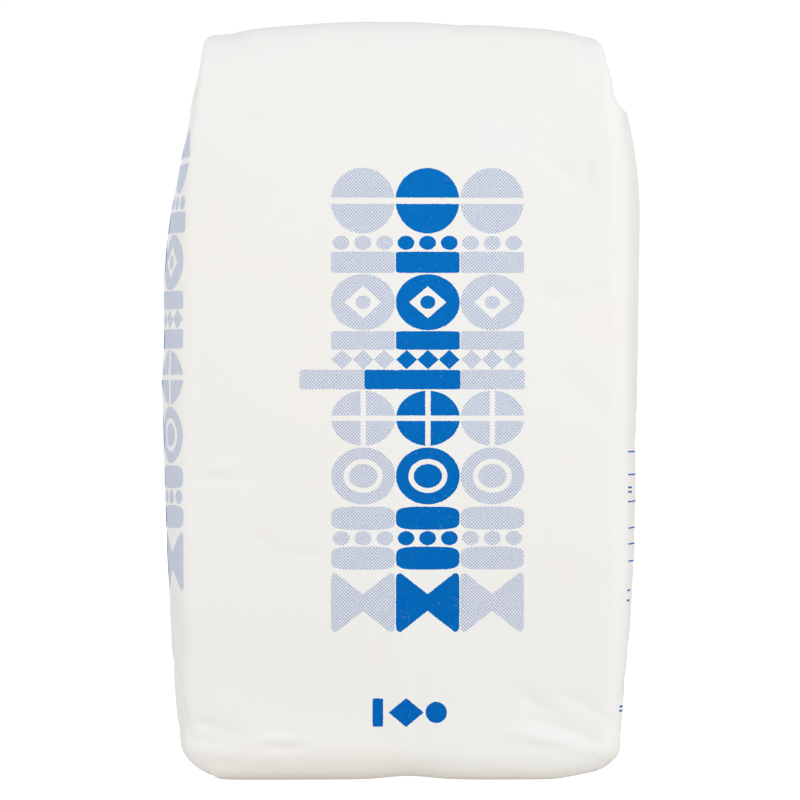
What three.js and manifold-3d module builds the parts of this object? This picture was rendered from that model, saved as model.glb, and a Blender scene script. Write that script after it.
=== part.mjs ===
// A one kilogram paper packet of sugar, shut and full, standing on its folded base.
// Millimetres, +Z up. The front panel faces -Y. The origin is the middle of the base, on the table.
import * as THREE from "three";
import { mergeVertices } from "three/addons/utils/BufferGeometryUtils.js";
import Module from "manifold-3d";

// The packet as the paper is creased: two wide panels, two side panels and a folded closure at each end.
const HEIGHT = 172;
const PANEL_WIDTH = 98;
const SIDE_DEPTH = 66;
const EDGE_RADIUS = 3.8;
const TOP_EDGE = { radius: 2.2, upTo: 20 };
const BASE_EDGE = { left: 8, right: 5.6, upTo: 40 };

// How the sugar fills the tube out. The panels are at their fullest from these heights up. The side
// panels are full almost to their edges, and the back half of the left one slants in.
const SIDE_BULGE = { left: 6.2, right: 5.5 };
const SIDE_FULLNESS = 3.5;
const FRONT_BULGE = 4;
const FULL_FROM = { left: 90, right: 120 };
const RISE_POWER = 0.75;
const LEFT_BACK_SLANT = { depth: 1.5, from: -0.6, to: 0.5 };

// How the loose top of the paper draws in, and how far it drops towards its sides: a slope on each
// side from x = from, and a steeper one at the right corner. The drop fades out down the packet.
const TOP_DRAW_IN = { left: 3.5, right: 4.7, y: 6.5, from: 135 };
const LEFT_DROP = { height: 3.4, from: 9, power: 1.25 };
const RIGHT_DROP = { height: 2.8, from: -1, power: 1.15 };
const RIGHT_CORNER_DROP = { height: 1.3, from: 36, power: 1.4 };
const DROP_FADE_POWER = 4;

// The front and back panels roll over into the closure: how far, in the last part of their height.
const TOP_ROLL = { y: 3.6, height: 11 };

// The packet leans a little: its base stands this far to the left, less and less up to this height.
const BASE_SHIFT = { x: -0.7, upTo: 86 };

// The side panels are tucked in under the top closure. Below the tuck the left one swells out slowly.
// The right one has most of its bulge at once, in a shoulder, and the rest a little lower.
const LEFT_TUCK = { height: 164, fade: 54 };
const RIGHT_TUCK = { height: 158.4, shoulder: 4.2, fade: 26, shoulderShare: 0.72 };
const FRONT_FADE = 90;

// The closures: side tucks first, the back flap over them, and the front flap over both, glued down.
const LAYER = 0.3;
const FLAP_OVERLAP = 9;

// Grid cells across each side of the packet, and across a cut that follows the slopes of the top.
const PACKET_CELLS = { x: 20, y: 14, z: 36 };
const CUT_CELLS = { x: 8, y: 6 };
const CUT_CLEARANCE = 12;

const PAPER = new THREE.MeshStandardMaterial({
  name: "paper",
  color: 0xf3f0ea,
  roughness: 0.75,
  metalness: 0,
});

const { lerp, clamp, smoothstep } = THREE.MathUtils;
const HALF_WIDTH = PANEL_WIDTH / 2;
const HALF_DEPTH = SIDE_DEPTH / 2;

const wasm = await Module();
wasm.setup();

// Packs the grid lines of a box closer together towards its edges, where the packet is rounded.
const towardsEdge = (t) => Math.sin((t * Math.PI) / 2);

// How far the panels have drawn in at height z, from 0 in the body to 1 at the top.
const drawnIn = (z) => Math.max(0, (z - TOP_DRAW_IN.from) / (HEIGHT - TOP_DRAW_IN.from)) ** 2;

// The part of a full bulge that the sugar gives the panels at height z, from none at the base.
const risen = (z, side) => Math.sin((Math.PI / 2) * clamp(z / FULL_FROM[side], 0, 1)) ** RISE_POWER;

// The part of a side panel's bulge that is left at height z, under the tuck.
function belowTuck(z, side) {
  if (side === "left") {
    return smoothstep(LEFT_TUCK.height - z, 0, LEFT_TUCK.fade);
  }
  const { height, shoulder, fade, shoulderShare } = RIGHT_TUCK;
  return lerp(smoothstep(height - z, 0, fade), smoothstep(height - z, 0, shoulder), shoulderShare);
}

// One slope of the closure: how far it has dropped at this distance out from the packet's middle.
function slope({ height, from, power }, out) {
  return height * clamp((out - from) / (HALF_WIDTH - from), 0, 1) ** power;
}

// How far the closure's top layer lies below the full height at a point of the plan.
const topDrop = (x) => slope(LEFT_DROP, -x) + slope(RIGHT_DROP, x) + slope(RIGHT_CORNER_DROP, x);

// The radius of the packet's edges at a point of the creased box.
function edgeRadius(p) {
  const atRight = smoothstep(p.x, -HALF_WIDTH / 2, HALF_WIDTH / 2);
  const baseRadius = lerp(BASE_EDGE.left, BASE_EDGE.right, atRight);
  const atBase = 1 - smoothstep(p.z, 0, BASE_EDGE.upTo);
  const atTop = 1 - smoothstep(HEIGHT - p.z, 0, TOP_EDGE.upTo);
  return EDGE_RADIUS + (baseRadius - EDGE_RADIUS) * atBase + (TOP_EDGE.radius - EDGE_RADIUS) * atTop;
}

// Rounds the edges of the creased box, whose vertices come in with x, y and z on its faces.
function roundEdges(p) {
  const radius = edgeRadius(p);
  const core = new THREE.Vector3(
    clamp(p.x, radius - HALF_WIDTH, HALF_WIDTH - radius),
    clamp(p.y, radius - HALF_DEPTH, HALF_DEPTH - radius),
    clamp(p.z, radius, HEIGHT - radius),
  );
  const out = p.clone().sub(core);
  p.copy(core).addScaledVector(out.normalize(), radius);
}

// Lets the sugar push the panels out, draws the top in and down to its slopes, and leans the base over.
function fill(p) {
  const across = p.x / HALF_WIDTH;
  const along = p.y / HALF_DEPTH;
  const side = across < 0 ? "left" : "right";
  const rise = risen(p.z, side);
  const fullness = 1 - Math.abs(along) ** SIDE_FULLNESS;
  const { depth, from, to } = LEFT_BACK_SLANT;
  const slant = side === "left" ? depth * smoothstep(along, from, to) : 0;
  const sidePush = SIDE_BULGE[side] * rise * belowTuck(p.z, side) * fullness - slant;
  const frontPush = FRONT_BULGE * rise * smoothstep(HEIGHT - p.z, 0, FRONT_FADE) * (1 - across ** 2);
  const drawn = drawnIn(p.z);
  const rolled = Math.max(0, 1 - (HEIGHT - p.z) / TOP_ROLL.height) ** 2;
  const shift = BASE_SHIFT.x * clamp(1 - p.z / BASE_SHIFT.upTo, 0, 1) ** 2;
  p.x += across * (sidePush - TOP_DRAW_IN[side] * drawn) + shift;
  p.y += along * (frontPush - TOP_DRAW_IN.y * drawn - TOP_ROLL.y * rolled);
  p.z -= topDrop(p.x) * (p.z / HEIGHT) ** DROP_FADE_POWER;
}

function moveVertices(geometry, move) {
  const places = geometry.getAttribute("position");
  const p = new THREE.Vector3();
  for (let i = 0; i < places.count; i++) {
    move(p.fromBufferAttribute(places, i));
    places.setXYZ(i, p.x, p.y, p.z);
  }
  return geometry;
}

function toSolid(geometry) {
  const bare = geometry.clone().deleteAttribute("normal").deleteAttribute("uv");
  const merged = mergeVertices(bare, 1e-4);
  const vertProperties = merged.getAttribute("position").array;
  return new wasm.Manifold(new wasm.Mesh({ numProp: 3, vertProperties, triVerts: merged.index.array }));
}

function toGeometry(solid) {
  const { vertProperties, triVerts } = solid.getMesh();
  const geometry = new THREE.BufferGeometry();
  geometry.setAttribute("position", new THREE.BufferAttribute(vertProperties, 3));
  geometry.setIndex(new THREE.BufferAttribute(triVerts, 1));
  geometry.computeVertexNormals();
  return geometry;
}

// The filled packet with its closures still one smooth layer.
function packetBody() {
  const box = new THREE.BoxGeometry(2, 2, 2, PACKET_CELLS.x, PACKET_CELLS.y, PACKET_CELLS.z);
  moveVertices(box, (p) => {
    p.set(
      towardsEdge(p.x) * HALF_WIDTH,
      towardsEdge(p.y) * HALF_DEPTH,
      (towardsEdge(p.z) * 0.5 + 0.5) * HEIGHT,
    );
    roundEdges(p);
    fill(p);
  });
  return toSolid(box);
}

// A cutter that takes a closure down by depth inside four corners of the plan, given anticlockwise.
// Its inner face follows the slopes of the top, or is level over the base.
function layerCutter(corners, depth, atTop) {
  const [a, b, c, d] = corners.map(([x, y]) => new THREE.Vector2(x, y));
  const block = new THREE.BoxGeometry(1, 1, 1, atTop ? CUT_CELLS.x : 1, atTop ? CUT_CELLS.y : 1, 1);
  moveVertices(block, (p) => {
    const near = a.clone().lerp(b, p.x + 0.5);
    const far = d.clone().lerp(c, p.x + 0.5);
    const plan = near.lerp(far, p.y + 0.5);
    const floor = atTop ? HEIGHT - topDrop(plan.x) - depth : depth - CUT_CLEARANCE;
    p.set(plan.x, plan.y, floor + (p.z > 0 ? CUT_CLEARANCE : 0));
  });
  return toSolid(block);
}

// The front flap is the outer layer of a closure. Behind its edge the back flap lies one layer lower,
// and beside the flaps, whose folded edges run in from the corners at 45 degrees, the side tucks lie two
// layers lower.
function closureCutters(halfWidth, halfDepth, atTop) {
  const reach = CUT_CLEARANCE;
  const tip = halfWidth - halfDepth;
  const outer = halfWidth + reach;
  const spread = halfDepth + reach;
  const behindEdge = [
    [-outer, FLAP_OVERLAP],
    [outer, FLAP_OVERLAP],
    [outer, spread],
    [-outer, spread],
  ];
  const besideFrontFlap = [
    [outer, -spread],
    [outer, FLAP_OVERLAP + 1],
    [tip - FLAP_OVERLAP - 1, FLAP_OVERLAP + 1],
    [tip - FLAP_OVERLAP, FLAP_OVERLAP],
  ];
  const sideTuck = [
    [outer, -spread],
    [outer, spread],
    [tip, 0.01],
    [tip, -0.01],
  ];
  const mirrored = (corners) => corners.map(([x, y]) => [-x, y]).reverse();
  return [
    layerCutter(behindEdge, LAYER, atTop),
    layerCutter(besideFrontFlap, LAYER, atTop),
    layerCutter(mirrored(besideFrontFlap), LAYER, atTop),
    layerCutter(sideTuck, 2 * LAYER, atTop),
    layerCutter(mirrored(sideTuck), 2 * LAYER, atTop),
  ];
}

const topHalfDepth = HALF_DEPTH - TOP_DRAW_IN.y - TOP_ROLL.y;
const topCutters = closureCutters(HALF_WIDTH - TOP_DRAW_IN.right, topHalfDepth, true);
const baseCutters = closureCutters(HALF_WIDTH, HALF_DEPTH, false);
const cutters = [...topCutters, ...baseCutters];
const packet = cutters.reduce((solid, cutter) => solid.subtract(cutter), packetBody());

const packetMesh = new THREE.Mesh(toGeometry(packet), PAPER);
packetMesh.name = "sugar_packet";

const group = new THREE.Group();
group.add(packetMesh);

export default group;
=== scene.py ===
import math
import random

import bmesh
import bpy
import numpy as np
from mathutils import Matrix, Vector, noise


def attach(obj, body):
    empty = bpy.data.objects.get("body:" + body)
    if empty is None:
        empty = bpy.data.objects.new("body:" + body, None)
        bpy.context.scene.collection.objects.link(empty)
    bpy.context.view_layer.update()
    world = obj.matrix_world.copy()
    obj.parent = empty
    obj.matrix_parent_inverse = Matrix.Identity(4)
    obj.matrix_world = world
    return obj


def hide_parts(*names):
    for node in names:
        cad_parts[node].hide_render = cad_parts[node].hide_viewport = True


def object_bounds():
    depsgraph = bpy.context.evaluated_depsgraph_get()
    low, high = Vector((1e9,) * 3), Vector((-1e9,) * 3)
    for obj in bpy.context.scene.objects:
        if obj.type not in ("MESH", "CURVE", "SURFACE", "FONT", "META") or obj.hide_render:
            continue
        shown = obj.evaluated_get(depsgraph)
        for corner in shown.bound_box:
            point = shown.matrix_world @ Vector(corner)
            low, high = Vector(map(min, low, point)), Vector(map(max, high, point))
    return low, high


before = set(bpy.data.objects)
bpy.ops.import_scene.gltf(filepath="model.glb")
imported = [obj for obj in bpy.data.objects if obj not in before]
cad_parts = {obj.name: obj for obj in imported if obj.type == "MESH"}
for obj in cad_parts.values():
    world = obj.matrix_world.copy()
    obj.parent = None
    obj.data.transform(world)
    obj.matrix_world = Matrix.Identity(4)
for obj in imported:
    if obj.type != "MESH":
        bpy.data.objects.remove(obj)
cad_low, cad_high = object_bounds()

# ---------------------------------------------------------------------------------------------
# The filled paper tube.
# One sheet of white kraft paper, creased into two wide panels and two side panels and filled with
# sugar, which pushes the panels out. The folded layers of both ends are pieces of their own, below.

MM = 0.001
LAYER = 0.3 * MM
HEIGHT = cad_high.z

# The panels bulge by this much, and are at their fullest from these heights up. The side panels are
# full almost to their edges, and the back half of the left one slants in.
LEFT_BULGE, RIGHT_BULGE, FRONT_BULGE = 6.2 * MM, 5.5 * MM, 4 * MM
HALF_WIDTH, HALF_DEPTH = cad_high.x - RIGHT_BULGE, cad_high.y - FRONT_BULGE
LEFT_FULL_FROM, RIGHT_FULL_FROM = 90 * MM, 120 * MM
LEFT_RISE_POWER, RIGHT_RISE_POWER = 0.65, 0.75
SIDE_FULLNESS = 3.5
FRONT_FADE = 90 * MM
LEFT_BACK_SLANT = 1.5 * MM
LEFT_SLANT_FROM, LEFT_SLANT_TO = -0.6, 0.5

# The creased edges are rounded, tighter at the top and wider at the base.
EDGE_RADIUS = 3.8 * MM
TOP_EDGE_RADIUS, TOP_EDGE_REACH = 2.2 * MM, 20 * MM
LEFT_BASE_RADIUS, RIGHT_BASE_RADIUS, BASE_EDGE_REACH = 8 * MM, 5.6 * MM, 40 * MM

# The loose top draws in, rolls over, and drops to each side, with a steeper drop at the right corner.
DRAW_IN_FROM = 135 * MM
DRAW_IN_LEFT, DRAW_IN_RIGHT, DRAW_IN_Y = 3.5 * MM, 4.7 * MM, 6.5 * MM
TOP_ROLL, TOP_ROLL_HEIGHT = 3.6 * MM, 11 * MM
LEFT_DROP, LEFT_DROP_FROM, LEFT_DROP_POWER = 3.4 * MM, -9 * MM, 1.25
RIGHT_DROP, RIGHT_DROP_FROM, RIGHT_DROP_POWER = 2.8 * MM, -1 * MM, 1.15
CORNER_DROP, CORNER_DROP_FROM, CORNER_DROP_POWER = 1.3 * MM, 36 * MM, 1.4
DROP_FADE_POWER = 4

# The side panels are tucked in under the top. The right one comes out again in a shoulder.
LEFT_TUCK, LEFT_FADE = 164 * MM, 54 * MM
RIGHT_TUCK, RIGHT_SHOULDER, RIGHT_FADE = 158.4 * MM, 4.2 * MM, 26 * MM
SHOULDER_SHARE = 0.72

# The base stands a little to the left, and its folds hold its corners off the ground.
BASE_SHIFT, BASE_SHIFT_UP_TO = -0.7 * MM, 86 * MM
BASE_LIFT_HEIGHT = 26 * MM
FRONT_LIFTS = {"left": 0.4 * MM, "middle": 1.0 * MM, "right": 2.8 * MM}
BACK_LIFTS = {"left": 1.4 * MM, "right": 0.8 * MM}

TUBE_CELLS = (112, 72, 176)
EDGE_CROWDING = 0.5


def smooth_step(value, start, end):
    """0 before the start, 1 past the end, and a soft rise in between."""
    t = np.clip((value - start) / (end - start), 0, 1)
    return t * t * (3 - 2 * t)


def subdivided_cube(cells):
    """A closed cube from -1 to 1 with this many cells along X, Y and Z."""
    bm = bmesh.new()
    bmesh.ops.create_cube(bm, size=2)
    for axis, count in enumerate(cells):
        along_axis = [e for e in bm.edges if abs(e.verts[0].co[axis] - e.verts[1].co[axis]) > 1]
        bmesh.ops.subdivide_edges(bm, edges=along_axis, cuts=count - 1, use_grid_fill=True)
    return bm


def rounded_box(unit):
    """Points of the cube from -1 to 1 become points of the creased box, its edges rounded."""
    crowded = (1 - EDGE_CROWDING) * unit + EDGE_CROWDING * np.sin(unit * math.pi / 2)
    half = np.array([HALF_WIDTH, HALF_DEPTH, HEIGHT / 2 - 2 * LAYER])
    box = crowded * half
    at_base = 1 - smooth_step(box[:, 2] + half[2], 0, BASE_EDGE_REACH)
    at_top = 1 - smooth_step(half[2] - box[:, 2], 0, TOP_EDGE_REACH)
    at_right = smooth_step(box[:, 0], -HALF_WIDTH / 2, HALF_WIDTH / 2)
    base_radius = LEFT_BASE_RADIUS + (RIGHT_BASE_RADIUS - LEFT_BASE_RADIUS) * at_right
    radius = EDGE_RADIUS + (base_radius - EDGE_RADIUS) * at_base
    radius += (TOP_EDGE_RADIUS - EDGE_RADIUS) * at_top
    radius = radius[:, None]
    core = np.clip(box, radius - half, half - radius)
    out = box - core
    out /= np.linalg.norm(out, axis=1)[:, None]
    return core + out * radius + np.array([0, 0, HEIGHT / 2])


def base_lift(across, along):
    """How far the folded layers hold the base's edges off the ground, most of all at the front right."""
    front, back = smooth_step(-along, 0.2, 1), smooth_step(along, 0.2, 1)
    right = smooth_step(across, 0.62, 1) ** 1.2
    left = smooth_step(-across, 0.7, 1)
    middle = np.exp(-(((across - 0.02) / 0.15) ** 2))
    front_lift = FRONT_LIFTS["left"] * left + FRONT_LIFTS["right"] * right
    front_lift += FRONT_LIFTS["middle"] * middle
    back_lift = BACK_LIFTS["left"] * left + BACK_LIFTS["right"] * right
    return front * front_lift + back * back_lift


def filled(points):
    """The sugar pushes the panels out, the loose top draws in and down, and the base leans left."""
    x, y, z = points.T.copy()
    across, along = x / HALF_WIDTH, y / HALF_DEPTH
    full_from = np.where(across < 0, LEFT_FULL_FROM, RIGHT_FULL_FROM)
    rise = np.sin(np.clip(z / full_from, 0, 1) * math.pi / 2)
    rise **= np.where(across < 0, LEFT_RISE_POWER, RIGHT_RISE_POWER)
    left = smooth_step(LEFT_TUCK - z, 0, LEFT_FADE)
    right = SHOULDER_SHARE * smooth_step(RIGHT_TUCK - z, 0, RIGHT_SHOULDER)
    right += (1 - SHOULDER_SHARE) * smooth_step(RIGHT_TUCK - z, 0, RIGHT_FADE)
    side_push = rise * np.where(across < 0, LEFT_BULGE * left, RIGHT_BULGE * right)
    side_push *= 1 - abs(along) ** SIDE_FULLNESS
    slant = LEFT_BACK_SLANT * smooth_step(along, LEFT_SLANT_FROM, LEFT_SLANT_TO)
    side_push -= np.where(across < 0, slant, 0)
    front_push = FRONT_BULGE * rise * smooth_step(HEIGHT - z, 0, FRONT_FADE) * (1 - across**2)
    drawn = np.maximum(0, (z - DRAW_IN_FROM) / (HEIGHT - DRAW_IN_FROM)) ** 2
    x += across * (side_push - np.where(across < 0, DRAW_IN_LEFT, DRAW_IN_RIGHT) * drawn)
    x += BASE_SHIFT * np.clip(1 - z / BASE_SHIFT_UP_TO, 0, 1) ** 2
    rolled = np.maximum(0, 1 - (HEIGHT - z) / TOP_ROLL_HEIGHT) ** 2
    y += along * (front_push - DRAW_IN_Y * drawn - TOP_ROLL * rolled)
    down_left = np.clip((LEFT_DROP_FROM - x) / (LEFT_DROP_FROM + HALF_WIDTH), 0, 1) ** LEFT_DROP_POWER
    down_right = np.clip((x - RIGHT_DROP_FROM) / (HALF_WIDTH - RIGHT_DROP_FROM), 0, 1) ** RIGHT_DROP_POWER
    at_corner = np.clip((x - CORNER_DROP_FROM) / (HALF_WIDTH - CORNER_DROP_FROM), 0, 1)
    at_corner **= CORNER_DROP_POWER
    drop = LEFT_DROP * down_left + RIGHT_DROP * down_right + CORNER_DROP * at_corner
    z -= drop * np.clip(z / HEIGHT, 0, 1) ** DROP_FADE_POWER
    z += base_lift(across, along) * np.clip(1 - z / BASE_LIFT_HEIGHT, 0, 1) ** 2
    return np.stack([x, y, z], 1)


bm = subdivided_cube(TUBE_CELLS)
shaped = filled(rounded_box(np.array([v.co for v in bm.verts])))
for vert, co in zip(bm.verts, shaped):
    vert.co = co
bm.normal_update()

# Wrinkles. Each is a line on one panel, from one point to another, with a depth and a half width in
# millimetres. On the front and back panels a point is (x, z), on the side panels it is (y, z).
FRONT_WRINKLES = [
    ((-45, 147), (-37.5, 149.5), 0.55, 2.2),
    ((-38, 149.5), (-32.5, 148), 0.55, 2.2),
    ((-33.5, 148), (-27, 151), 0.6, 2.2),
    ((-28, 150.8), (-5, 150.5), 0.55, 2.8),
    ((-6, 153), (8, 156.7), 0.48, 3),
    ((6, 156.3), (34, 159.2), 0.44, 3),
    ((35, 154.6), (40, 158.4), -0.42, 2),
    ((30, 142), (44, 131), 0.5, 4),
    ((41.6, 139), (41.9, 134), 0.6, 2),
    ((47, 120), (47.3, 113), 0.45, 2),
    ((27, 110.5), (38, 108), 0.5, 4.5),
    ((36, 108), (45, 112), 0.3, 3),
    ((33, 93), (45, 81), 0.36, 5),
    ((-50, 68.6), (-32, 68.2), 0.42, 1.8),
    ((-49, 70.4), (-36, 70.6), -0.2, 2),
    ((-40, 61), (-28, 49), 0.3, 3.4),
    ((-31, 50.5), (-16, 50), 0.28, 2.8),
    ((-46, 138), (-43, 132), 0.4, 3),
    ((24, 21), (38, 11), 0.65, 3.2),
    ((29, 17), (38, 11.5), -0.3, 2),
    ((22, 11.2), (45, 5), -0.75, 2.6),
    ((26, 14.5), (42, 8.4), 0.6, 2.6),
    ((33, 21), (47, 12), 0.4, 3),
    ((-50, 14), (-36, 10.4), 0.6, 2.8),
    ((-45, 6), (-27, 5.6), -0.6, 2.2),
    ((-33, 8.2), (-22, 7.4), 0.6, 1.8),
    ((-34, 10.2), (-22, 9.4), -0.5, 1.8),
    ((-47, 9), (-37, 8.4), 0.4, 2.4),
]
WRINKLE_SEED = 7

# Besides, the paper swells and cockles over the sugar and has crinkles, most of them near its ends. Each
# is a depth and how many lumps there are to the metre. The warp bends the wrinkles' straight lines.
WARP, WARP_SCALE = 1.6 * MM, 55
SWELL, SWELL_SCALE = 0.45 * MM, 26
COCKLE, COCKLE_SCALE = 0.16 * MM, 75
CRINKLE, CRINKLE_SCALE, CRINKLE_SHARPNESS = 0.3 * MM, 30, 9
MIDDLE_CRINKLED, FRONT_SMOOTHED = 0.35, 0.6
STANDS_FLAT = (2 * MM, 12 * MM)

# The other panels' wrinkles are drawn at random between these bounds, in degrees and millimetres. The
# fans run from each corner. A wrinkle is a furrow, or a ridge where its depth is negative.
FAN_COUNT, FAN_SPREAD = 5, 28
BASE_FAN_HEIGHT, BASE_FAN_TURN = 6, 60
TOP_FAN_HEIGHT, TOP_FAN_TURN, TOP_FAN_INSET = 166, 55, 4
FAN_STARTS, FAN_ENDS = (0, 8), (14, 30)
FAN_DEPTHS, FAN_WIDTHS, FAN_RIDGE = (0.25, 0.65), (2.8, 4.4), -0.6
ODD_ON_BACK, ODD_ON_SIDE = 26, 22
ODD_HEIGHTS, ODD_SLOPES, ODD_LENGTHS = (18, 158), (-0.6, 0.6), (7, 22)
ODD_DEPTHS, ODD_WIDTHS, ODD_RIDGE = (0.3, 0.8), (2.2, 4.5), -0.5


def noise_at(points, scale, offset):
    """Smooth noise from about -1 to 1 at each point, with this many lumps to the metre."""
    return np.array([noise.noise(Vector(p) * scale + Vector((offset, 0, -offset))) for p in points])


def furrow(across, up, line):
    """The depth of one wrinkle: sharp along its middle, and fading out at its ends."""
    (x0, z0), (x1, z1), depth, width = line
    start = np.array([x0, z0]) * MM
    axis = np.array([x1, z1]) * MM - start
    length = np.linalg.norm(axis)
    dx, dz = across - start[0], up - start[1]
    share = (dx * axis[0] + dz * axis[1]) / length**2
    off = np.abs(dx * axis[1] - dz * axis[0]) / length
    ends = np.clip(4 * share * (1 - share), 0, 1) ** 0.6
    return depth * MM * np.clip(1 - off / (width * MM), 0, 1) ** 1.5 * ends


def corner_fan(rng, x, z, turn):
    """Wrinkles that spread from a corner of a panel, turned towards its middle."""
    fan = []
    for _ in range(FAN_COUNT):
        angle = math.radians(turn + rng.uniform(-FAN_SPREAD, FAN_SPREAD))
        near, far = rng.uniform(*FAN_STARTS), rng.uniform(*FAN_ENDS)
        ends = [(x + r * math.cos(angle), z + r * math.sin(angle)) for r in (near, far)]
        depth = rng.choice((FAN_RIDGE, 1)) * rng.uniform(*FAN_DEPTHS)
        fan.append((*ends, depth, rng.uniform(*FAN_WIDTHS)))
    return fan


def panel_wrinkles(rng, half_width, odd_count):
    """The wrinkles of a panel that nothing has smoothed: fans at its corners and a few odd ones."""
    lines = []
    for side in (-1, 1):
        lines += corner_fan(rng, side * half_width, BASE_FAN_HEIGHT, 90 + side * BASE_FAN_TURN)
        inset = side * (half_width - TOP_FAN_INSET)
        lines += corner_fan(rng, inset, TOP_FAN_HEIGHT, -90 - side * TOP_FAN_TURN)
    for _ in range(odd_count):
        x, z = rng.uniform(-half_width, half_width), rng.uniform(*ODD_HEIGHTS)
        angle, length = rng.uniform(*ODD_SLOPES), rng.uniform(*ODD_LENGTHS)
        end = (x + length * math.cos(angle), z + length * math.sin(angle))
        depth = rng.choice((ODD_RIDGE, 1)) * rng.uniform(*ODD_DEPTHS)
        lines.append(((x, z), end, depth, rng.uniform(*ODD_WIDTHS)))
    return lines


rng = random.Random(WRINKLE_SEED)
normals = np.array([v.normal for v in bm.verts])
wander = np.stack([noise_at(shaped, WARP_SCALE, i) for i in (3, 11, 19)], 1) * WARP
x, y, z = (shaped + wander).T
push = SWELL * noise_at(shaped, SWELL_SCALE, 5) + COCKLE * noise_at(shaped, COCKLE_SCALE, 31)
near_ends = smooth_step(abs(shaped[:, 2] - HEIGHT / 2), 0.2 * HEIGHT, 0.45 * HEIGHT)
is_front = smooth_step(-normals[:, 1], 0.5, 0.9)
crinkled = (MIDDLE_CRINKLED + (1 - MIDDLE_CRINKLED) * near_ends) * (1 - FRONT_SMOOTHED * is_front)
for offset in (47, 83):
    fold = 1 - abs(noise_at(shaped + wander, CRINKLE_SCALE, offset))
    push -= CRINKLE * crinkled * fold**CRINKLE_SHARPNESS
panels = [
    (-normals[:, 1], x, FRONT_WRINKLES),
    (normals[:, 1], x, panel_wrinkles(rng, HALF_WIDTH / MM, ODD_ON_BACK)),
    (-normals[:, 0], y, panel_wrinkles(rng, HALF_DEPTH / MM, ODD_ON_SIDE)),
    (normals[:, 0], y, panel_wrinkles(rng, HALF_DEPTH / MM, ODD_ON_SIDE)),
]
for facing, across, lines in panels:
    share = smooth_step(facing, 0.3, 0.8)
    for line in lines:
        push -= share * furrow(across, z, line)
free = smooth_step(shaped[:, 2], *STANDS_FLAT)
shaped += normals * (push * free)[:, None]
for vert, co in zip(bm.verts, shaped):
    vert.co = co

# The paper is white, a little warm, and printed in blue. Both wide panels and the left side panel carry
# a column of plain shapes in solid ink between two in a screen of dots. The print is laid out in
# millimetres: across a panel, as it is looked at, and up.
PAPER_WHITE = (0.9, 0.879, 0.84, 1)
PAPER_COOL = (0.886, 0.884, 0.866, 1)
INK_DENSE = (0, 0.118, 0.455, 1)
INK_THIN = (0.002, 0.18, 0.565, 1)
COLUMN_PITCH = 14.6
COLUMN_FOOT = 33.7
WIDE_PANEL_MIDDLE = 4.2
SIDE_PANEL_MIDDLE, SIDE_PANEL_RAISE = 7.9, 9.2
DOT_PITCH, DOT_RADIUS = 0.54, 0.4
DOT_INK, INK_BETWEEN_DOTS = 0.47, 0.095
RAGGED_BY, RAGS_TO_THE_MM = 0.25, 2.2

# Each shape either lays ink or leaves a gap in what is below it. It has a middle, half sizes and a
# power: 1 is a diamond, 2 a disc, 4 a pill and 14 a block. A tail is a block that sticks out to the left.
COLUMN_SHAPES = [
    ("ink", (0, 6.7), (7.2, 6.7), 14),
    ("gap", (0, 13.6), (6.4, 5), 1),
    ("gap", (0, -0.2), (6.4, 5), 1),
    ("ink", (0, 16.7), (7.2, 2.6), 4),
    ("ink", (-4.9, 21.2), (1.9, 1.6), 2),
    ("ink", (0, 21.2), (1.9, 1.6), 2),
    ("ink", (4.9, 21.2), (1.9, 1.6), 2),
    ("ink", (0, 25.7), (7.2, 2.6), 4),
    ("ink", (0, 35.2), (7.2, 6.4), 2),
    ("gap", (0, 35.2), (4.4, 3.8), 2),
    ("ink", (0, 35.2), (3.2, 2.7), 2),
    ("ink", (0, 48.2), (7.2, 6.2), 2),
    ("gap", (0, 48.2), (0.6, 6.3), 14),
    ("gap", (0, 48.2), (8, 0.6), 14),
    ("ink", (0, 56.9), (7.4, 2.2), 14),
    ("ink", (-4.8, 61.4), (2.4, 2.2), 1),
    ("ink", (0, 61.4), (2.4, 2.2), 1),
    ("ink", (4.8, 61.4), (2.4, 2.2), 1),
    ("ink", (0, 65.7), (7.2, 2.1), 14),
    ("ink", (0, 74.3), (7.2, 6.3), 2),
    ("gap", (0, 74.3), (4.2, 3.6), 1),
    ("ink", (0, 74.3), (1.7, 1.5), 2),
    ("ink", (0, 83.3), (7.2, 2.4), 14),
    ("ink", (-4.9, 87.7), (1.9, 1.6), 2),
    ("ink", (0, 87.7), (1.9, 1.6), 2),
    ("ink", (4.9, 87.7), (1.9, 1.6), 2),
    ("ink", (0, 97.2), (7.2, 7.4), 2),
    ("gap", (0, 97.2), (8, 0.7), 14),
]
TAIL_SHAPES = [("ink", (3.9, 56.9), (3.6, 2.2), 14)]
FOOT_SHAPES = [
    ("ink", (-7, 15.6), (1.2, 3.2), 14),
    ("ink", (-0.6, 15.6), (4, 3.3), 1),
    ("ink", (6.2, 15.6), (2.4, 2.4), 2),
]

# The right side panel has thin rules and short dashes across it: their heights, then half a line's
# thickness and the line's two ends.
RIGHT_RULES = (49.5, 53.4, 57, 63, 69.1, 74.3)
RULE_LINE = (0.17, -29.8, 8)
RIGHT_DASHES = (15.6, 16.6, 40.6, 42.9, 65.2, 66.2)
DASH_LINE = (0.22, -30, -27)


def feed(socket, value):
    """Links another node's output to this socket, or sets it to a plain value."""
    if isinstance(value, bpy.types.NodeSocket):
        socket.id_data.links.new(value, socket)
    else:
        socket.default_value = value


def add_node(tree, kind, values=(), **settings):
    """A new node with these settings, its first sockets fed with these values."""
    node = tree.nodes.new(f"ShaderNode{kind}")
    for name, setting in settings.items():
        setattr(node, name, setting)
    for socket, value in zip(node.inputs, values):
        feed(socket, value)
    return node


def reckon(tree, operation, *values):
    """The result of a sum on numbers."""
    return add_node(tree, "Math", values, operation=operation).outputs["Value"]


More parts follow.
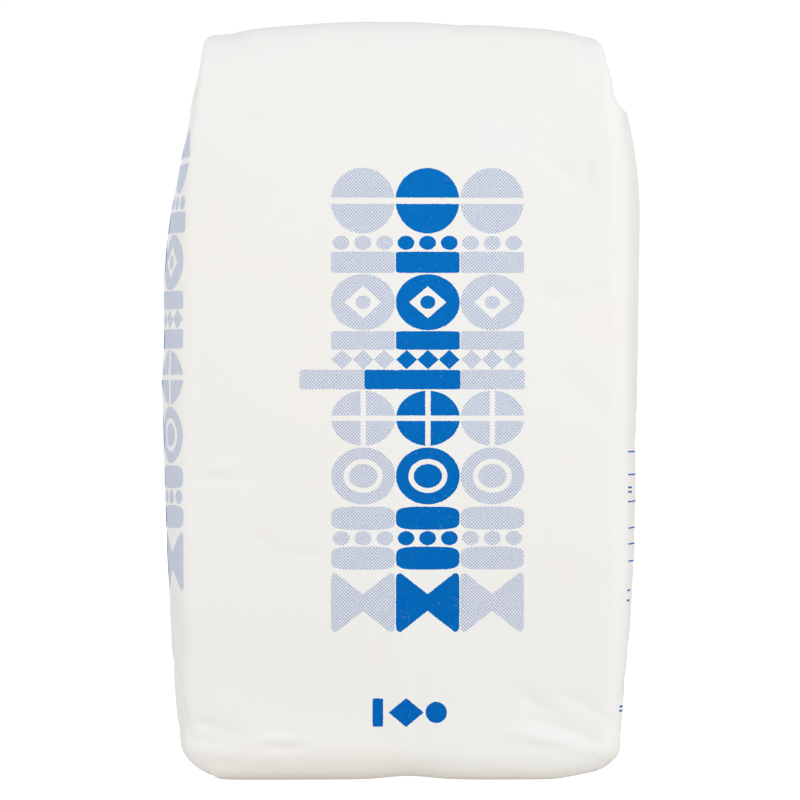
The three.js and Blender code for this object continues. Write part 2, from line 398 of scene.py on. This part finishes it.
def on_vectors(tree, operation, *values):
    """The result of a vector operation, which is a number for a length or a dot product."""
    node = add_node(tree, "VectorMath", values, operation=operation)
    return node.outputs["Value" if operation in ("LENGTH", "DOT_PRODUCT") else "Vector"]


def new_group(name, inputs, outputs):
    """An empty node group, with the sockets that its inside reads and the sockets that it feeds."""
    group = bpy.data.node_groups.new(name, "ShaderNodeTree")
    for direction, sockets in (("INPUT", inputs), ("OUTPUT", outputs)):
        for socket, kind in sockets.items():
            group.interface.new_socket(socket, in_out=direction, socket_type=f"NodeSocket{kind}")
    return group, group.nodes.new("NodeGroupInput").outputs, group.nodes.new("NodeGroupOutput").inputs


def place_group(tree, group, *values):
    """The outputs of a node group placed in this tree and fed with these values."""
    node = add_node(tree, "Group", node_tree=group)
    for socket, value in zip(node.inputs, values):
        feed(socket, value)
    return node.outputs


shape_group, given, result = new_group(
    "printed_shape",
    {"Point": "Vector", "Middle": "Vector", "Half Size": "Vector", "Power": "Float"},
    {"Mask": "Float"},
)
off = on_vectors(shape_group, "SUBTRACT", given["Point"], given["Middle"])
off = on_vectors(shape_group, "ABSOLUTE", on_vectors(shape_group, "DIVIDE", off, given["Half Size"]))
parts = add_node(shape_group, "SeparateXYZ", [off]).outputs
powers = [reckon(shape_group, "POWER", parts[axis], given["Power"]) for axis in "XY"]
feed(result["Mask"], reckon(shape_group, "LESS_THAN", reckon(shape_group, "ADD", *powers), 1))


def shapes_group(name, shapes):
    """A node group that says where the ink of these shapes is."""
    group, given, result = new_group(name, {"Point": "Vector"}, {"Ink": "Float"})
    ink = 0
    for kind, middle, half_size, power in shapes:
        mask = place_group(group, shape_group, given["Point"], (*middle, 0), (*half_size, 1), power)[0]
        if kind == "ink":
            ink = reckon(group, "MAXIMUM", ink, mask)
        else:
            ink = reckon(group, "MULTIPLY", ink, reckon(group, "SUBTRACT", 1, mask))
    feed(result["Ink"], ink)
    return group


column_group = shapes_group("print_column", COLUMN_SHAPES)
tail_group = shapes_group("print_tail", TAIL_SHAPES)
foot_group = shapes_group("print_foot", FOOT_SHAPES)


def print_group():
    """Where the solid ink and the screened ink are, from a point of the packet in metres."""
    group, given, result = new_group("print", {"Place": "Vector"}, {"Solid": "Float", "Screen": "Float"})
    in_mm = on_vectors(group, "DIVIDE", given["Place"], (MM, MM, MM))
    ragged = add_node(group, "TexNoise")
    feed(ragged.inputs["Vector"], in_mm)
    ragged.inputs["Scale"].default_value = RAGS_TO_THE_MM
    ragged.inputs["Detail"].default_value = 1
    shake = on_vectors(group, "SUBTRACT", ragged.outputs["Color"], (0.5, 0.5, 0.5))
    shake = on_vectors(group, "MULTIPLY", shake, (RAGGED_BY, RAGGED_BY, RAGGED_BY))
    place = on_vectors(group, "ADD", in_mm, shake)
    x, y, z = add_node(group, "SeparateXYZ", [place]).outputs

    beyond = reckon(group, "SUBTRACT", reckon(group, "ABSOLUTE", x), reckon(group, "ABSOLUTE", y))
    on_side = reckon(group, "GREATER_THAN", beyond, (HALF_WIDTH - HALF_DEPTH) / MM)
    on_right = reckon(group, "MULTIPLY", on_side, reckon(group, "GREATER_THAN", x, 0))
    on_wide = reckon(group, "SUBTRACT", 1, on_side)
    wide_across = reckon(group, "MULTIPLY", x, reckon(group, "MULTIPLY", reckon(group, "SIGN", y), -1))
    side_across = reckon(group, "MULTIPLY", y, reckon(group, "SIGN", x))

    across = add_node(group, "Mix", [on_side, (0, 0, 0), wide_across, side_across]).outputs["Result"]
    middle = reckon(
        group, "MULTIPLY_ADD", on_side, SIDE_PANEL_MIDDLE - WIDE_PANEL_MIDDLE, WIDE_PANEL_MIDDLE
    )
    foot = reckon(group, "MULTIPLY_ADD", on_side, SIDE_PANEL_RAISE, COLUMN_FOOT)
    u = reckon(group, "SUBTRACT", across, middle)
    v = reckon(group, "SUBTRACT", z, foot)
    column = reckon(group, "ROUND", reckon(group, "DIVIDE", u, COLUMN_PITCH))
    from_column = reckon(group, "SUBTRACT", u, reckon(group, "MULTIPLY", column, COLUMN_PITCH))
    cell_place = add_node(group, "CombineXYZ", [from_column, v]).outputs[0]
    ink = place_group(group, column_group, cell_place)[0]
    tail = place_group(group, tail_group, cell_place)[0]
    in_middle = reckon(group, "COMPARE", column, 0, 0.5)
    beside = reckon(group, "COMPARE", reckon(group, "ABSOLUTE", column), 1, 0.5)
    solid = reckon(group, "MULTIPLY", ink, in_middle)
    solid_tail = reckon(group, "MULTIPLY", tail, reckon(group, "COMPARE", column, -1, 0.5))
    solid = reckon(group, "MAXIMUM", solid, solid_tail)
    screen = reckon(group, "MULTIPLY", ink, beside)
    screen_tail = reckon(group, "MULTIPLY", tail, reckon(group, "COMPARE", column, -2, 0.5))
    screen = reckon(group, "MAXIMUM", screen, screen_tail)
    not_right = reckon(group, "SUBTRACT", 1, on_right)
    foot_place = add_node(group, "CombineXYZ", [wide_across, z]).outputs[0]
    foot_ink = reckon(group, "MULTIPLY", place_group(group, foot_group, foot_place)[0], on_wide)
    solid = reckon(group, "MAXIMUM", reckon(group, "MULTIPLY", solid, not_right), foot_ink)

    for heights, (half, start, end) in ((RIGHT_RULES, RULE_LINE), (RIGHT_DASHES, DASH_LINE)):
        length = reckon(group, "COMPARE", side_across, (start + end) / 2, (end - start) / 2)
        along = reckon(group, "MULTIPLY", on_right, length)
        for height in heights:
            line = reckon(group, "MULTIPLY", along, reckon(group, "COMPARE", z, height, half))
            solid = reckon(group, "MAXIMUM", solid, line)

    flat_place = add_node(group, "CombineXYZ", [across, z]).outputs[0]
    step = math.cos(math.radians(45)) / DOT_PITCH
    turned = [on_vectors(group, "DOT_PRODUCT", flat_place, (side * step, step, 0)) for side in (1, -1)]
    cell = on_vectors(group, "FRACTION", add_node(group, "CombineXYZ", turned).outputs[0])
    off = on_vectors(group, "LENGTH", on_vectors(group, "SUBTRACT", cell, (0.5, 0.5, 0)))
    dot = reckon(group, "LESS_THAN", off, DOT_RADIUS)
    dot = reckon(group, "MULTIPLY_ADD", dot, DOT_INK, INK_BETWEEN_DOTS)
    feed(result["Solid"], solid)
    feed(result["Screen"], reckon(group, "MULTIPLY", screen, reckon(group, "MULTIPLY", dot, not_right)))
    return group


def noise_node(tree, place, scale, detail=2.0, roughness=0.5):
    node = add_node(tree, "TexNoise")
    feed(node.inputs["Vector"], place)
    node.inputs["Scale"].default_value = scale
    node.inputs["Detail"].default_value = detail
    node.inputs["Roughness"].default_value = roughness
    return node.outputs["Fac"]


def between(tree, value, low, high):
    """0 where the value is under low, 1 where it is over high, and even in between."""
    node = add_node(tree, "MapRange", clamp=True)
    for socket, given in zip(node.inputs, (value, low, high)):
        feed(socket, given)
    return node.outputs["Result"]


def colour_mix(tree, share, first, second):
    node = add_node(tree, "Mix", data_type="RGBA")
    for name, value in (("Factor_Float", share), ("A_Color", first), ("B_Color", second)):
        feed(next(s for s in node.inputs if s.identifier == name), value)
    return next(s for s in node.outputs if s.identifier == "Result_Color")


# The paper's looks, each a noise with this many lumps to the metre: its shade, its sheen, its fibres and
# its grain. The solid ink is patchy, thinner towards the top of the packet and has a few pinholes.
SHADE_LUMPS, SHEEN_LUMPS, FIBRE_LUMPS, GRAIN_LUMPS = 38, 160, 1900, 620
PATCH_LUMPS, PINHOLE_LUMPS = 900, 1500
THIN_UP, THIN_PATCHES = 0.55, 0.45
PINHOLE_DEPTH = 0.08
SMOOTHEST, SHEEN_SPREAD = 0.56, 0.16
GRAIN_SHARE = 1.4
TOOTH, TOOTH_STRENGTH = 0.06 * MM, 0.22


def printed_paper():
    """White kraft paper with a faint tooth and next to no gloss, and the print on it."""
    material = bpy.data.materials.new("printed_paper")
    material.use_nodes = True
    tree = material.node_tree
    shader = tree.nodes["Principled BSDF"]
    place = add_node(tree, "TexCoord").outputs["Object"]
    solid, screen = place_group(tree, print_group(), place)

    mottle = between(tree, noise_node(tree, place, SHADE_LUMPS, 3), 0.35, 0.65)
    paper = colour_mix(tree, mottle, PAPER_WHITE, PAPER_COOL)

    patches = between(tree, noise_node(tree, place, PATCH_LUMPS, 3, 0.7), 0.3, 0.7)
    height = add_node(tree, "SeparateXYZ", [place]).outputs["Z"]
    thinner_up = between(tree, height, 0.1 * HEIGHT, 0.9 * HEIGHT)
    thin_patches = reckon(tree, "MULTIPLY", patches, THIN_PATCHES)
    thinness = reckon(tree, "MULTIPLY_ADD", thinner_up, THIN_UP, thin_patches)
    ink = colour_mix(tree, thinness, INK_DENSE, INK_THIN)
    pinholes = between(tree, noise_node(tree, place, PINHOLE_LUMPS, 1), 0.7, 0.78)
    solid_ink = reckon(tree, "MULTIPLY", solid, reckon(tree, "MULTIPLY_ADD", pinholes, -PINHOLE_DEPTH, 1))
    screened = colour_mix(tree, screen, paper, ink)
    feed(shader.inputs["Base Color"], colour_mix(tree, solid_ink, screened, ink))

    sheen = noise_node(tree, place, SHEEN_LUMPS, 2)
    feed(shader.inputs["Roughness"], reckon(tree, "MULTIPLY_ADD", sheen, SHEEN_SPREAD, SMOOTHEST))
    shader.inputs["Specular IOR Level"].default_value = 0.02

    fibre = noise_node(tree, place, FIBRE_LUMPS, 3, 0.7)
    grain = noise_node(tree, place, GRAIN_LUMPS, 1)
    bump = add_node(tree, "Bump")
    bump.inputs["Strength"].default_value = TOOTH_STRENGTH
    bump.inputs["Distance"].default_value = TOOTH
    feed(bump.inputs["Height"], reckon(tree, "MULTIPLY_ADD", grain, GRAIN_SHARE, fibre))
    feed(shader.inputs["Normal"], bump.outputs["Normal"])
    return material


paper = printed_paper()
SHARP_CREASE = math.radians(50)


def paper_piece(bm, name):
    """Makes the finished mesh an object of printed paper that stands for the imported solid."""
    mesh = bpy.data.meshes.new(name)
    bm.to_mesh(mesh)
    bm.free()
    mesh.shade_smooth()
    mesh.set_sharp_from_angle(angle=SHARP_CREASE)
    mesh.materials.append(paper)
    piece = bpy.data.objects.new(name, mesh)
    bpy.context.scene.collection.objects.link(piece)
    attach(piece, "root")
    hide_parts("sugar_packet")
    return piece


tube = paper_piece(bm, "paper_tube")

# ---------------------------------------------------------------------------------------------
# The folded ends.
# At each end the side panels are tucked in first, the back flap is folded over them, and the front flap
# is folded over both and glued down. The flaps' folded edges run in from the corners at 45 degrees.

PAPER_THICKNESS = 0.2 * MM
SLIVER = 0.08 * MM
FLAP_OVERLAP, BACK_FLAP_REACH = 9 * MM, -2 * MM
FLAP_SKEW = 0.02
FOLD_UNDERCUT = 0.25
FLAP_WRAP, WRAP_FADE = 26 * MM, (1 * MM, 23 * MM)
PANEL_FROM, PANEL_FULL_SHARE = 0.2 * MM, 0.6
FOLD_FADE = (3 * MM, 14 * MM)
SUNK = 0.3 * MM


def paper_layer(name, planes, lift):
    """A layer of paper over part of the tube: what the planes leave of its surface, lifted off it."""
    bm = bmesh.new()
    bm.from_mesh(tube.data)
    for place, outward in planes:
        geometry = bm.verts[:] + bm.edges[:] + bm.faces[:]
        bmesh.ops.bisect_plane(
            bm, geom=geometry, dist=1e-7, plane_co=place, plane_no=outward, clear_outer=True
        )
    bm.normal_update()
    moves = [v.normal * lift(v.co) for v in bm.verts]
    for vert, move in zip(bm.verts, moves):
        vert.co += move
    bmesh.ops.remove_doubles(bm, verts=bm.verts[:], dist=SLIVER)
    piece = paper_piece(bm, name)
    thickness = piece.modifiers.new("paper_thickness", "SOLIDIFY")
    thickness.thickness = PAPER_THICKNESS
    thickness.offset = -1
    return piece


def end_layer(name, at_top, at_front, layers):
    """A flap folded over an end from the front or the back, lying this many layers up."""
    up = 1 if at_top else -1
    half_width = HALF_WIDTH - DRAW_IN_RIGHT * at_top
    half_depth = HALF_DEPTH - (DRAW_IN_Y + TOP_ROLL) * at_top
    radius = TOP_EDGE_RADIUS if at_top else LEFT_BASE_RADIUS
    end = HEIGHT if at_top else 0
    from_edge = -1 if at_front else 1
    corner_y = from_edge * half_depth
    reach = FLAP_OVERLAP if at_front else BACK_FLAP_REACH
    planes = [
        (Vector((0, -from_edge * reach, 0)), Vector((FLAP_SKEW, -from_edge, 0))),
        (Vector((half_width, corner_y, end)), Vector((1, -from_edge, -FOLD_UNDERCUT * up))),
        (Vector((-half_width, corner_y, end)), Vector((-1, -from_edge, -FOLD_UNDERCUT * up))),
        (Vector((0, 0, end - up * FLAP_WRAP)), Vector((0, 0, -up))),
    ]

    def lift(co):
        below_end = up * (end - co.z)
        share = float(smooth_step(FLAP_WRAP - below_end, *WRAP_FADE))
        from_fold = half_width - abs(co.x) + abs(co.y - corner_y)
        on_panel = float(smooth_step(below_end, PANEL_FROM, PANEL_FULL_SHARE * radius))
        share *= 1 - on_panel * (1 - float(smooth_step(from_fold, *FOLD_FADE)))
        return (layers * LAYER + SUNK) * share - SUNK

    return paper_layer(name, planes, lift)


end_layer("top_back_flap", at_top=True, at_front=False, layers=1)
end_layer("top_front_flap", at_top=True, at_front=True, layers=2)
end_layer("base_back_flap", at_top=False, at_front=False, layers=1)
end_layer("base_front_flap", at_top=False, at_front=True, layers=2)

# ---------------------------------------------------------------------------------------------
# The back seam.
# The sheet's two long edges overlap down the back and are glued. The outer one shows as a straight
# edge, from the fold at the base to the fold at the top.

SEAM_X = 6 * MM
SEAM_LAP = 16 * MM
SEAM_RISE, SEAM_SUNK = 0.6 * LAYER, 0.05 * MM
SEAM_BASE, SEAM_TOP = 3 * MM, HEIGHT - 4.5 * MM


def seam_lift(co):
    """The outer edge of the lap stands up, and its inner edge sinks into the paper."""
    return float(smooth_step(co.x, SEAM_X - SEAM_LAP, SEAM_X)) * SEAM_RISE - SEAM_SUNK


paper_layer(
    "back_seam",
    [
        (Vector((SEAM_X, 0, 0)), Vector((1, 0, 0))),
        (Vector((SEAM_X - SEAM_LAP, 0, 0)), Vector((-1, 0, 0))),
        (Vector((0, 0, 0)), Vector((0, -1, 0))),
        (Vector((0, 0, SEAM_TOP)), Vector((0, 0, 1))),
        (Vector((0, 0, SEAM_BASE)), Vector((0, 0, -1))),
    ],
    seam_lift,
)

# ---------------------------------------------------------------------------------------------
# The studio.
# A pale floor that throws a little light up, most of all beside the packet, in even white surroundings
# with a soft light on each of the four sides. The floor glows towards the camera, so it looks white.

AROUND, BEHIND = 0.715, 1.05
SURROUNDINGS = (0.955, 0.973, 1, 1)
FLOOR_HALF = 4
FLOOR_COLOUR = (0.55, 0.52525, 0.4895, 1)
FLOOR_LIGHT, FLOOR_LIGHT_COLOUR = 0.06, (1, 0.97, 0.93, 1)
BESIDE_LIGHT, BESIDE_REACH = 0.2, 13 * MM
NEAR_GLOW, FAR_GLOW = 0.73, 0.95
GLOW_GROWS_FROM, GLOW_GROWS_TO = 0.2, 1.2

bm = bmesh.new()
bmesh.ops.create_grid(bm, x_segments=1, y_segments=1, size=FLOOR_HALF)
floor_mesh = bpy.data.meshes.new("floor")
bm.to_mesh(floor_mesh)
bm.free()
floor = bpy.data.objects.new("floor", floor_mesh)
bpy.context.scene.collection.objects.link(floor)
pale = bpy.data.materials.new("pale_floor")
pale.use_nodes = True
tree = pale.node_tree
pale_shader = tree.nodes["Principled BSDF"]
pale_shader.inputs["Base Color"].default_value = FLOOR_COLOUR
pale_shader.inputs["Roughness"].default_value = 1
pale_shader.inputs["Emission Color"].default_value = FLOOR_LIGHT_COLOUR
seen = add_node(tree, "LightPath").outputs["Is Camera Ray"]
place = add_node(tree, "TexCoord").outputs["Object"]
glow = between(tree, on_vectors(tree, "LENGTH", place), GLOW_GROWS_FROM, GLOW_GROWS_TO)
glow = reckon(tree, "MULTIPLY_ADD", glow, FAR_GLOW - NEAR_GLOW, NEAR_GLOW)
outside = on_vectors(tree, "SUBTRACT", on_vectors(tree, "ABSOLUTE", place), (HALF_WIDTH, HALF_DEPTH, 0))
outside = add_node(tree, "SeparateXYZ", [outside]).outputs
outside = reckon(tree, "MAXIMUM", outside["X"], outside["Y"])
beside = reckon(tree, "SUBTRACT", 1, between(tree, outside, 0, BESIDE_REACH))
light = reckon(tree, "MULTIPLY_ADD", beside, BESIDE_LIGHT, FLOOR_LIGHT)
feed(pale_shader.inputs["Emission Strength"], reckon(tree, "MULTIPLY_ADD", seen, glow, light))
floor_mesh.materials.append(pale)

world = bpy.data.worlds.new("studio")
bpy.context.scene.world = world
world.use_nodes = True
tree = world.node_tree
background = tree.nodes["Background"]
background.inputs["Color"].default_value = SURROUNDINGS
seen = add_node(tree, "LightPath").outputs["Is Camera Ray"]
feed(background.inputs["Strength"], reckon(tree, "MULTIPLY_ADD", seen, BEHIND - AROUND, AROUND))

CAMERA_DISTANCE = 1.5
CAMERA_AZIMUTH = math.radians(-3.3)
VIEW_WIDTH = 184.46 * MM
target = Vector((0, 0, HEIGHT / 2))
towards_camera = Vector((math.sin(CAMERA_AZIMUTH), -math.cos(CAMERA_AZIMUTH), 0))
camera_data = bpy.data.cameras.new("camera")
camera_data.lens = camera_data.sensor_width * CAMERA_DISTANCE / VIEW_WIDTH
camera = bpy.data.objects.new("camera", camera_data)
camera.location = target + towards_camera * CAMERA_DISTANCE
camera.rotation_euler = (-towards_camera).to_track_quat("-Z", "Y").to_euler()
bpy.context.scene.collection.objects.link(camera)
bpy.context.scene.camera = camera


def softbox(name, azimuth, distance, height, size, watts):
    """A square soft light, aimed at the packet's middle. Azimuth 0 is in front and 90 on the right."""
    data = bpy.data.lights.new(name, "AREA")
    data.shape = "SQUARE"
    data.size = size
    data.energy = watts
    light = bpy.data.objects.new(name, data)
    turn = math.radians(azimuth)
    light.location = (distance * math.sin(turn), -distance * math.cos(turn), height)
    light.rotation_euler = (target - light.location).to_track_quat("-Z", "Y").to_euler()
    bpy.context.scene.collection.objects.link(light)


softbox("front_softbox", azimuth=0, distance=0.65, height=0.2, size=0.4, watts=1.42)
softbox("left_softbox", azimuth=-96, distance=1.1, height=0.3, size=0.6, watts=2.6)
softbox("right_softbox", azimuth=84, distance=1.1, height=0.3, size=0.6, watts=2.7)
softbox("back_softbox", azimuth=190, distance=1.1, height=0.3, size=0.6, watts=1.8)

bpy.context.scene.view_settings.view_transform = "Standard"
